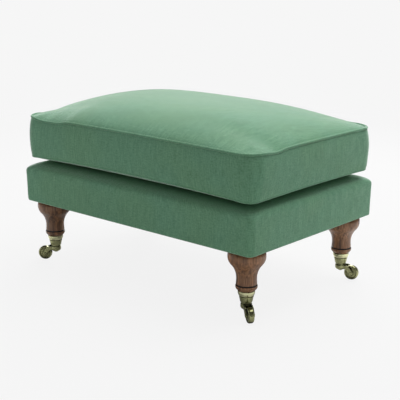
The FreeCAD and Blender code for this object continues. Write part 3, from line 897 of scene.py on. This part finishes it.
def base_cover():
    """Cover of the base: hem turned under, upright sides and a padded dome up to the platform."""
    skin = Skin()
    top = [skin.add(row) for row in cap(
        (platform_length, platform_width), base_corner + base_dome_corner_growth, lambda u, v: platform_z)]
    skin.grid(top)
    rows = []
    for size, corner, height in base_rows():
        points = ring(size, corner, lambda u, v, z=height: z)
        if height > base_z + base_edge_round:
            shoulder_reach = shoulder_hold + abs(height - shoulder_z)
            points = ruffled(points, shoulder_reach, base_seed, base_unevenness)
        rows.append(skin.add(points))
    half_way_up = foot_rows + wall_rows // 2
    along = lengths_round([skin.points[corner] for corner in rows[half_way_up]])
    rows.append(rim(top))
    on_front = len(rows[0]) // 8
    reach = 0.0
    for lower, upper in zip(rows, rows[1:]):
        step = (skin.points[upper[on_front]] - skin.points[lower[on_front]]).length
        skin.band(lower, upper, along, reach, reach + step)
        reach += step
    cover = placed(
        "base_cover_cloth", skin.mesh("base_cover_cloth"), "base", "cover_fabric", "base_cover",
        "platform_foam", "wadding_front", "wadding_back", "wadding_left", "wadding_right")
    modify(cover, "SOLIDIFY", thickness=cover_thickness, offset=-1)


# Zip


def build_zip():
    """Tape with two rows of teeth that mesh along its middle, and a slider with its pull."""
    face_y = zip_face_y + zip_tape_thickness
    half = zip_half_length
    tape_ends = ((-half, zip_face_y, zip_z - zip_half_width), (half, face_y, zip_z + zip_half_width))
    placed("zip_tape", blocks_mesh("zip_tape", [tape_ends], zip_tape_easing), "cushion", "cover_fabric")
    teeth = []
    for index in range(int(2 * half / zip_tooth_pitch)):
        middle = (index + 0.5) * zip_tooth_pitch - half
        side = 1 if index % 2 else -1
        ends = sorted((zip_z - side * zip_tooth_overlap, zip_z + side * zip_tooth_reach))
        width = zip_tooth_pitch * zip_tooth_half_share
        teeth.append((
            (middle - width, face_y - zip_tooth_root, ends[0]), (middle + width, zip_high_y, ends[1])))
    chain = blocks_mesh("zip_teeth", teeth, zip_tooth_easing)
    placed("zip_teeth", chain, "cushion", "zip_metal", "zip_chain")
    low, high = (Vector(corner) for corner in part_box("zip_slider"))
    body_start = high.x - zip_slider_length
    body_middle = ((body_start + high.x) / 2, zip_z)
    pull_half = (body_start - low.x) / 2
    body = plate_mesh(
        "zip_body", superellipse(body_middle, zip_slider_length / 2, (high.z - low.z) / 2, 3.0),
        low.y, high.y - zip_slider_inset,
        superellipse(body_middle, zip_slider_length * 0.12, zip_slider_slot, 2.0))
    pull = plate_mesh(
        "zip_pull", superellipse(
            ((low.x + body_start) / 2 + zip_pull_gap, zip_z), pull_half, zip_pull_width / 2, 3.5),
        high.y - zip_pull_thickness, high.y,
        superellipse((low.x + pull_half * 0.55, zip_z), pull_half * 0.3, zip_pull_width * 0.25, 3.0))
    bridge_low = (body_start + zip_bridge_ends[0], high.y - zip_bridge_height, zip_z - zip_bridge_width / 2)
    bridge_high = (high.x - zip_bridge_ends[1], high.y, zip_z + zip_bridge_width / 2)
    bridge = blocks_mesh("zip_bridge", [(bridge_low, bridge_high)], zip_tape_easing)
    slider = smoothed(joined_mesh("zip_slider_metal", [body, pull, bridge]), 40)
    placed("zip_slider_metal", slider, "zip_slider", "zip_metal", "zip_slider")


# Underside


def dust_sheet():
    """Black cloth stretched under the frame, hanging very slightly between its staples."""
    low, high = (Vector(corner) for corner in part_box("dust_cover"))
    size = (high.x - low.x, high.y - low.y)
    middle_z = (low.z + high.z) / 2

    def height(u, v):
        hang = dust_sheet_sag * ((1 - u * u) * (1 - v * v)) ** 2
        wave = noise.noise(Vector((u * dust_ripple_waves[0], v * dust_ripple_waves[1], 3.0)))
        return middle_z - hang + wave * dust_sheet_ripple * (1 - abs(u)) * (1 - abs(v))

    skin = Skin()
    skin.grid([skin.add(row) for row in cap(size, base_corner, height)], flip=True)
    cloth = placed("dust_sheet", skin.mesh("dust_sheet"), "base", "dust_cloth", "dust_cover")


def dust_staples():
    """Staples round the edge of the dust cover, their crowns along its sides."""
    low, high = (Vector(corner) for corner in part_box("dust_cover"))
    middle_z = (low.z + high.z) / 2
    staples = []
    for axis in (0, 1):
        straight = high[axis] - low[axis] - 2 * base_corner
        count = round(straight / staple_pitch)
        for side in (low[1 - axis] + staple_inset, high[1 - axis] - staple_inset):
            for index in range(count):
                middle = Vector((side, side, middle_z))
                middle[axis] = low[axis] + base_corner + straight * (index + 0.5) / count
                half = Vector((staple_wire / 2, staple_wire / 2, staple_wire))
                half[axis] = staple_length / 2
                staples.append((middle - half, middle + half))
    placed("dust_staples", blocks_mesh("dust_staples", staples, staple_wire / 4), "base", "zinc_steel")


# Legs and castors

leg_foot_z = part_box("leg_front_right")[0][2]
leg_top_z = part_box("leg_front_right")[1][2]
cup_low_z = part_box("castor_cup_front_right")[0][2]
cup_high_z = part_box("castor_cup_front_right")[1][2]
axle_z = node_middle("castor_wheel_front_right").z
horn_high_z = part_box("castor_horn_front_right")[1][2]
trail = (node_middle("castor_wheel_front_right") - node_middle("leg_front_right")).xy.length
axle_line = Matrix.Translation((trail, 0, axle_z)) @ Matrix.Rotation(math.pi / 2, 4, "X")

# Turned leg, heights from its foot in the cup
leg_bulb_radius = 0.046
leg_bulb_corner_height = 0.1
leg_bulb_round = 0.029
leg_crown_round = 0.012
leg_neck_radius = 0.0247
leg_cove_corner_height = 0.076
leg_cove_round = 0.05
leg_neck_height = 0.054
leg_collar_radius = 0.0254
leg_collar_round = 0.0007
leg_groove_radius = 0.0237
leg_groove_height = 0.0395
leg_groove_width = 0.0022
leg_groove_slope = 0.0002
leg_groove_round = 0.0003
leg_bead_radius = 0.0266
leg_bead_corner_height = 0.0314
leg_bead_round = 0.01
leg_bead_edge = 0.0016
leg_arc_step = 5

# Castor
cup_rim_radius = 0.0207
cup_rim_round = 0.0008
cup_base_radius = 0.0146
cup_base_round = 0.0016
cup_waist_radius = 0.0177
cup_band_height = 0.0115
cup_flare_height = 0.0063
cup_flare_round = 0.0016
cup_step = 0.0008
cup_step_round = 0.0003
cup_groove_height = 0.002
cup_groove_round = 0.0002
cup_wall = 0.0018
cup_mouth_depth = 0.003
cup_mouth_taper = 0.0004
wheel_radius = 0.019
wheel_width = 0.014
wheel_tread_round = 0.0042
wheel_hub_radius = 0.006
wheel_hub_round = 0.0007
wheel_hub_slope = 0.7
wheel_rim_depth = 0.0045
wheel_rim_round = 0.0008
wheel_rim_slope = 0.6
wheel_dish_depth = 0.002
wheel_dish_rounds = (0.0009, 0.0012)
axle_radius = 0.0025
axle_head_radius = 0.0033
axle_head_height = 0.001
axle_head_round = 0.00085
horn_boss_radius = 0.014
horn_boss_height = 0.0145
horn_boss_round = 0.0015
horn_bowl_round = 0.007
horn_arm_thickness = 0.003
horn_arm_gap = 0.001
horn_arm_drop = 0.0007
horn_arm_width = 0.0105
horn_shoulder_reach = 0.019
horn_tip_radius = 0.00575
horn_tip_share = 0.99
horn_shoulder_round = 0.014
horn_armpit_round = 0.006
horn_relief = 0.0012
horn_voxel = 0.0005
pivot_pin_radius = 0.004
pivot_collar_radius = 0.0124
pivot_collar_rounds = (0.0006, 0.0004)
pivot_rivet_radius = 0.0065
pivot_rivet_height = 0.0024
pivot_rivet_round = 0.00216
end_play = 0.00015


def turned_leg(corner):
    """Leg turned to its profile, in its cup."""
    x, y, _ = node_middle("leg_" + corner)
    groove_z = leg_foot_z + leg_groove_height
    profile = rounded_profile([
        (0, leg_foot_z, 0),
        (cup_base_radius - cup_wall, leg_foot_z, 0),
        (cup_rim_radius - cup_wall, cup_high_z, 0),
        (leg_bead_radius, leg_foot_z + leg_bead_corner_height, leg_bead_round),
        (leg_bead_radius, groove_z, leg_bead_edge),
        (leg_groove_radius, groove_z + leg_groove_slope, leg_groove_round),
        (leg_groove_radius, groove_z + leg_groove_width, leg_groove_round),
        (leg_collar_radius, groove_z + leg_groove_width, leg_collar_round),
        (leg_neck_radius, leg_foot_z + leg_neck_height, 0),
        (leg_neck_radius, leg_foot_z + leg_cove_corner_height, leg_cove_round),
        (leg_bulb_radius, leg_foot_z + leg_bulb_corner_height, leg_bulb_round),
        (leg_bulb_radius, leg_top_z, leg_crown_round),
        (0, leg_top_z, 0),
    ], leg_arc_step)
    mesh = lathe_mesh("leg_wood_" + corner, profile, 96, Matrix.Translation((x, y, 0)))
    placed("leg_wood_" + corner, mesh, "base", "walnut", "leg_" + corner)


def cup_profile():
    """Tapered cup with a flared band at its mouth and a narrow groove under the band."""
    band_z = cup_high_z - cup_band_height
    inner = cup_waist_radius - cup_step
    return rounded_profile([
        (0, cup_low_z, 0),
        (cup_base_radius, cup_low_z, cup_base_round),
        (cup_waist_radius - cup_step / 8, band_z - cup_groove_height, cup_step_round),
        (inner, band_z - cup_groove_height * 0.7, cup_groove_round),
        (inner, band_z - cup_groove_height * 0.3, cup_groove_round),
        (cup_waist_radius + cup_step, band_z, cup_step_round),
        (cup_rim_radius, band_z + cup_flare_height, cup_flare_round),
        (cup_rim_radius, cup_high_z, cup_rim_round),
        (cup_rim_radius - cup_wall, cup_high_z, cup_mouth_taper),
        (cup_rim_radius - cup_wall - cup_mouth_taper, cup_high_z - cup_mouth_depth, 0),
    ])


def pivot_profile():
    """What shows of the pivot: the rivet's dome, the pin and the thrust collar under the cup."""
    rivet_top = horn_high_z - horn_boss_height - end_play
    collar_foot = horn_high_z + end_play
    return rounded_profile([
        (0, rivet_top - pivot_rivet_height, 0),
        (pivot_rivet_radius, rivet_top - pivot_rivet_height, pivot_rivet_round),
        (pivot_rivet_radius, rivet_top, 0),
        (pivot_pin_radius, rivet_top, 0),
        (pivot_pin_radius, collar_foot, 0),
        (pivot_collar_radius, collar_foot, pivot_collar_rounds[0]),
        (pivot_collar_radius, cup_low_z, pivot_collar_rounds[1]),
        (0, cup_low_z, 0),
    ])


def both_sides(side):
    """An outline made of one side's corners and their mirror image."""
    mirrored = [(radius, -across, rounding) for radius, across, rounding in reversed(side)]
    return rounded_profile(side + mirrored)


def wheel_profile():
    """Section of the wheel about its axle: round tread, dished sides and a hub."""
    half = wheel_width / 2
    dish = half - wheel_dish_depth
    rim_radius = wheel_radius - wheel_rim_depth
    return both_sides([
        (0, half, 0),
        (wheel_hub_radius, half, wheel_hub_round),
        (wheel_hub_radius + wheel_dish_depth * wheel_hub_slope, dish, wheel_dish_rounds[0]),
        (rim_radius - wheel_dish_depth * wheel_rim_slope, dish, wheel_dish_rounds[1]),
        (rim_radius, half, wheel_rim_round),
        (wheel_radius, half, wheel_tread_round),
    ])


def axle_profile():
    """Rivet through both arms, with a low domed head on each side."""
    half = wheel_width / 2 + horn_arm_gap + horn_arm_thickness
    return both_sides([
        (0, half + axle_head_height, 0),
        (axle_head_radius, half + axle_head_height, axle_head_round),
        (axle_head_radius, half, 0),
        (axle_radius, half, 0),
    ])


def horn_arm_points():
    """Side view of an arm: level out of the boss, over a round shoulder, down to a round tip at the axle."""
    top = horn_high_z - horn_arm_drop
    bottom = top - horn_arm_width
    shoulder = Vector((horn_shoulder_reach, (top + bottom) / 2))
    tip = Vector((trail, axle_z))
    down = (tip - shoulder).normalized()
    outward = Vector((-down.y, down.x))
    end = tip + down * horn_tip_radius
    upper = end + outward * horn_tip_radius
    lower = end - outward * horn_tip_radius
    upper_bend = upper - down * ((upper.y - top) / down.y)
    lower_bend = lower - down * ((lower.y - bottom) / down.y)
    tip_round = horn_tip_radius * horn_tip_share
    return rounded_profile([
        (0, bottom, 0),
        (lower_bend.x, bottom, horn_armpit_round),
        (lower.x, lower.y, tip_round),
        (upper.x, upper.y, tip_round),
        (upper_bend.x, top, horn_shoulder_round),
        (0, top, 0),
    ])


def horn_mesh():
    """Cast horn: boss and arms grown together, hollowed round the wheel, with soft cast edges."""
    boss = lathe_mesh("horn_boss", rounded_profile([
        (0, horn_high_z - horn_boss_height, 0),
        (horn_boss_radius, horn_high_z - horn_boss_height, horn_bowl_round),
        (horn_boss_radius, horn_high_z, horn_boss_round),
        (0, horn_high_z, 0),
    ]), 64)
    slot_half = wheel_width / 2 + horn_arm_gap
    outer_half = slot_half + horn_arm_thickness
    outline = horn_arm_points()
    arms = [plate_mesh("horn_arm", outline, slot_half, outer_half),
            plate_mesh("horn_arm", outline, -outer_half, -slot_half)]
    raw = linked("horn_raw", joined_mesh("horn_raw", [boss] + arms))
    raw.data.flip_normals()
    relief = wheel_radius + horn_relief
    cutter_profile = [(0, -slot_half), (relief, -slot_half), (relief, slot_half), (0, slot_half)]
    cutter = linked("horn_cutter", lathe_mesh("horn_cutter", cutter_profile, 96, axle_line))
    modify(raw, "REMESH", mode="VOXEL", voxel_size=horn_voxel)
    modify(raw, "BOOLEAN", operation="DIFFERENCE", object=cutter)
    modify(raw, "REMESH", mode="VOXEL", voxel_size=horn_voxel)
    modify(raw, "SMOOTH", iterations=4, factor=0.5)
    mesh = baked_mesh(raw)
    bpy.data.objects.remove(cutter)
    mesh.shade_smooth()
    return mesh


def castor(corner, meshes):
    """Cup, pivot, horn, wheel and axle under one leg, turned to the castor's own heading."""
    leg_place = node_middle("leg_" + corner)
    wheel_place = node_middle("castor_wheel_" + corner)
    heading = math.atan2(wheel_place.y - leg_place.y, wheel_place.x - leg_place.x)
    place = Matrix.Translation((leg_place.x, leg_place.y, 0)) @ Matrix.Rotation(heading, 4, "Z")
    bodies = {"cup": "base", "pivot": "base", "horn": "horn_" + corner, "axle": "horn_" + corner,
              "wheel": "wheel_" + corner}
    for kind, body in bodies.items():
        mesh = meshes[kind].copy()
        mesh.transform(place)
        placed("brass_" + kind + "_" + corner, mesh, body, "antique_brass", "castor_" + kind + "_" + corner)


def castor_meshes():
    """The castor's pieces once, trailing along +X from the pivot's axis."""
    return {
        "cup": lathe_mesh("cup", cup_profile(), 72),
        "pivot": lathe_mesh("pivot", pivot_profile(), 48),
        "horn": horn_mesh(),
        "wheel": lathe_mesh("wheel", wheel_profile(), 72, axle_line),
        "axle": lathe_mesh("axle", axle_profile(), 32, axle_line),
    }


# Stage, light and camera


def pale_surface(tree, own, shown, mirrored=None):
    """Own shader for light, a pale one for the camera, and if given a third one for reflections."""
    path = add(tree, "LightPath").outputs
    seen = calc(tree, "MAXIMUM", path["Is Camera Ray"], path["Is Transmission Ray"])
    if mirrored is not None:
        own = add(tree, "MixShader", {0: path["Is Glossy Ray"], 1: own, 2: mirrored}).outputs[0]
    return add(tree, "MixShader", {0: seen, 1: own, 2: shown}).outputs[0]


def floor_material():
    """Pale floor that keeps a soft shadow near the stool and fades into the backdrop."""
    material, tree = bare_material("pale_floor")
    lit = add(tree, "BsdfDiffuse", {"Color": grey(floor_tone)}).outputs[0]
    glow = add(tree, "Emission", {"Color": grey(floor_glow)}).outputs[0]
    plain = add(tree, "Emission", {"Color": grey(backdrop_tone)}).outputs[0]
    near = add(tree, "MixShader", {0: floor_shadow_share, 1: glow, 2: lit}).outputs[0]
    distance = add(tree, "VectorMath", {0: object_coords(tree)}, operation="LENGTH").outputs["Value"]
    fade = span(tree, distance, floor_near, floor_far)
    shown = add(tree, "MixShader", {0: fade, 1: near, 2: plain}).outputs[0]
    add(tree, "OutputMaterial", {"Surface": pale_surface(tree, lit, shown)})
    return material


def build_floor():
    """Round floor, far larger than the view."""
    mesh = lathe_mesh("floor", [(floor_radius, 0.0), (0.0, 0.0)], 64)
    mesh.materials.append(floor_material())
    linked("floor", mesh)


def build_world():
    """Pale backdrop for the camera, an even light, and surroundings that reflections see darken upwards."""
    world = bpy.data.worlds.new("studio")
    bpy.context.scene.world = world
    world.use_nodes = True
    tree = world.node_tree
    tree.nodes.clear()
    own = add(tree, "Background", {"Color": grey(1.0), "Strength": ambient}).outputs[0]
    plain = add(tree, "Background", {"Color": grey(backdrop_tone)}).outputs[0]
    upward = add(tree, "SeparateXYZ", {0: add(tree, "TexCoord").outputs["Generated"]}).outputs[2]
    tone = span(tree, upward, *mirrored_span, mirrored_low, mirrored_high)
    mirrored = add(tree, "Background", {"Color": grey(1.0), "Strength": tone}).outputs[0]
    add(tree, "OutputWorld", {"Surface": pale_surface(tree, own, plain, mirrored)})


def aimed(name, data, place, aim):
    """A lamp or camera at one place, looking at another."""
    made = linked(name, data)
    made.location = place
    made.rotation_euler = (Vector(aim) - Vector(place)).to_track_quat("-Z", "Y").to_euler()
    return made


def build_lights():
    """The soft boxes."""
    for name, (place, aim, size, power) in lamps.items():
        data = bpy.data.lights.new(name, "AREA")
        data.shape = "SQUARE"
        data.size = size
        data.energy = power
        aimed(name, data, place, aim)


def build_camera():
    """The photograph's own view."""
    data = bpy.data.cameras.new("camera")
    data.lens = camera_lens
    data.sensor_width = camera_sensor
    data.shift_x = camera_shift
    bpy.context.scene.camera = aimed("camera", data, camera_place, camera_aim)


# The whole scene


def paint_nodes():
    """Gives every CAD node that stays its material."""
    slots = {
        "frame_": "frame_timber", "corner_block_": "frame_timber", "webbing_": "webbing",
        "hessian": "hessian", "hanger_bolts": "zinc_steel", "tee_nuts": "zinc_steel",
    }
    for name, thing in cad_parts.items():
        for start, slot in slots.items():
            if name.startswith(start):
                for holder in thing.material_slots:
                    holder.material = materials[slot]


materials = {
    "cover_fabric": cover_fabric(),
    "walnut": walnut(),
    "antique_brass": antique_brass(),
    "frame_timber": sawn_timber(),
    "webbing": coarse_cloth("webbing", (0.20, 0.13, 0.06), (0.42, 0.31, 0.17), 0.0018),
    "hessian": coarse_cloth("hessian", (0.22, 0.15, 0.07), (0.46, 0.34, 0.19), 0.0025),
    "dust_cloth": coarse_cloth("dust_cloth", (0.006, 0.006, 0.006), (0.016, 0.016, 0.017), 0.0009),
    "zinc_steel": mottled_metal("zinc_steel", (0.46, 0.46, 0.45), (0.68, 0.68, 0.66), 400.0, (0.28, 0.42)),
    "zip_metal": mottled_metal("zip_metal", (0.16, 0.13, 0.07), (0.40, 0.34, 0.19), 700.0, (0.3, 0.45)),
}
build_world()
build_floor()
build_lights()
build_camera()
paint_nodes()
cushion_cover()
piping_tube("piping_top", (cushion_length, cushion_width), cushion_corner, top_seam_height)
foot_piping_size = (cushion_foot_length - 2 * foot_piping_inset, cushion_foot_width - 2 * foot_piping_inset)
piping_tube("piping_bottom", foot_piping_size, cushion_foot_corner - foot_piping_inset, bottom_seam_height)
base_cover()
build_zip()
dust_sheet()
dust_staples()
castor_parts = castor_meshes()
for corner in ("front_left", "front_right", "back_left", "back_right"):
    turned_leg(corner)
    castor(corner, castor_parts)

bpy.context.scene.view_settings.view_transform = "Standard"
bpy.context.view_layer.update()
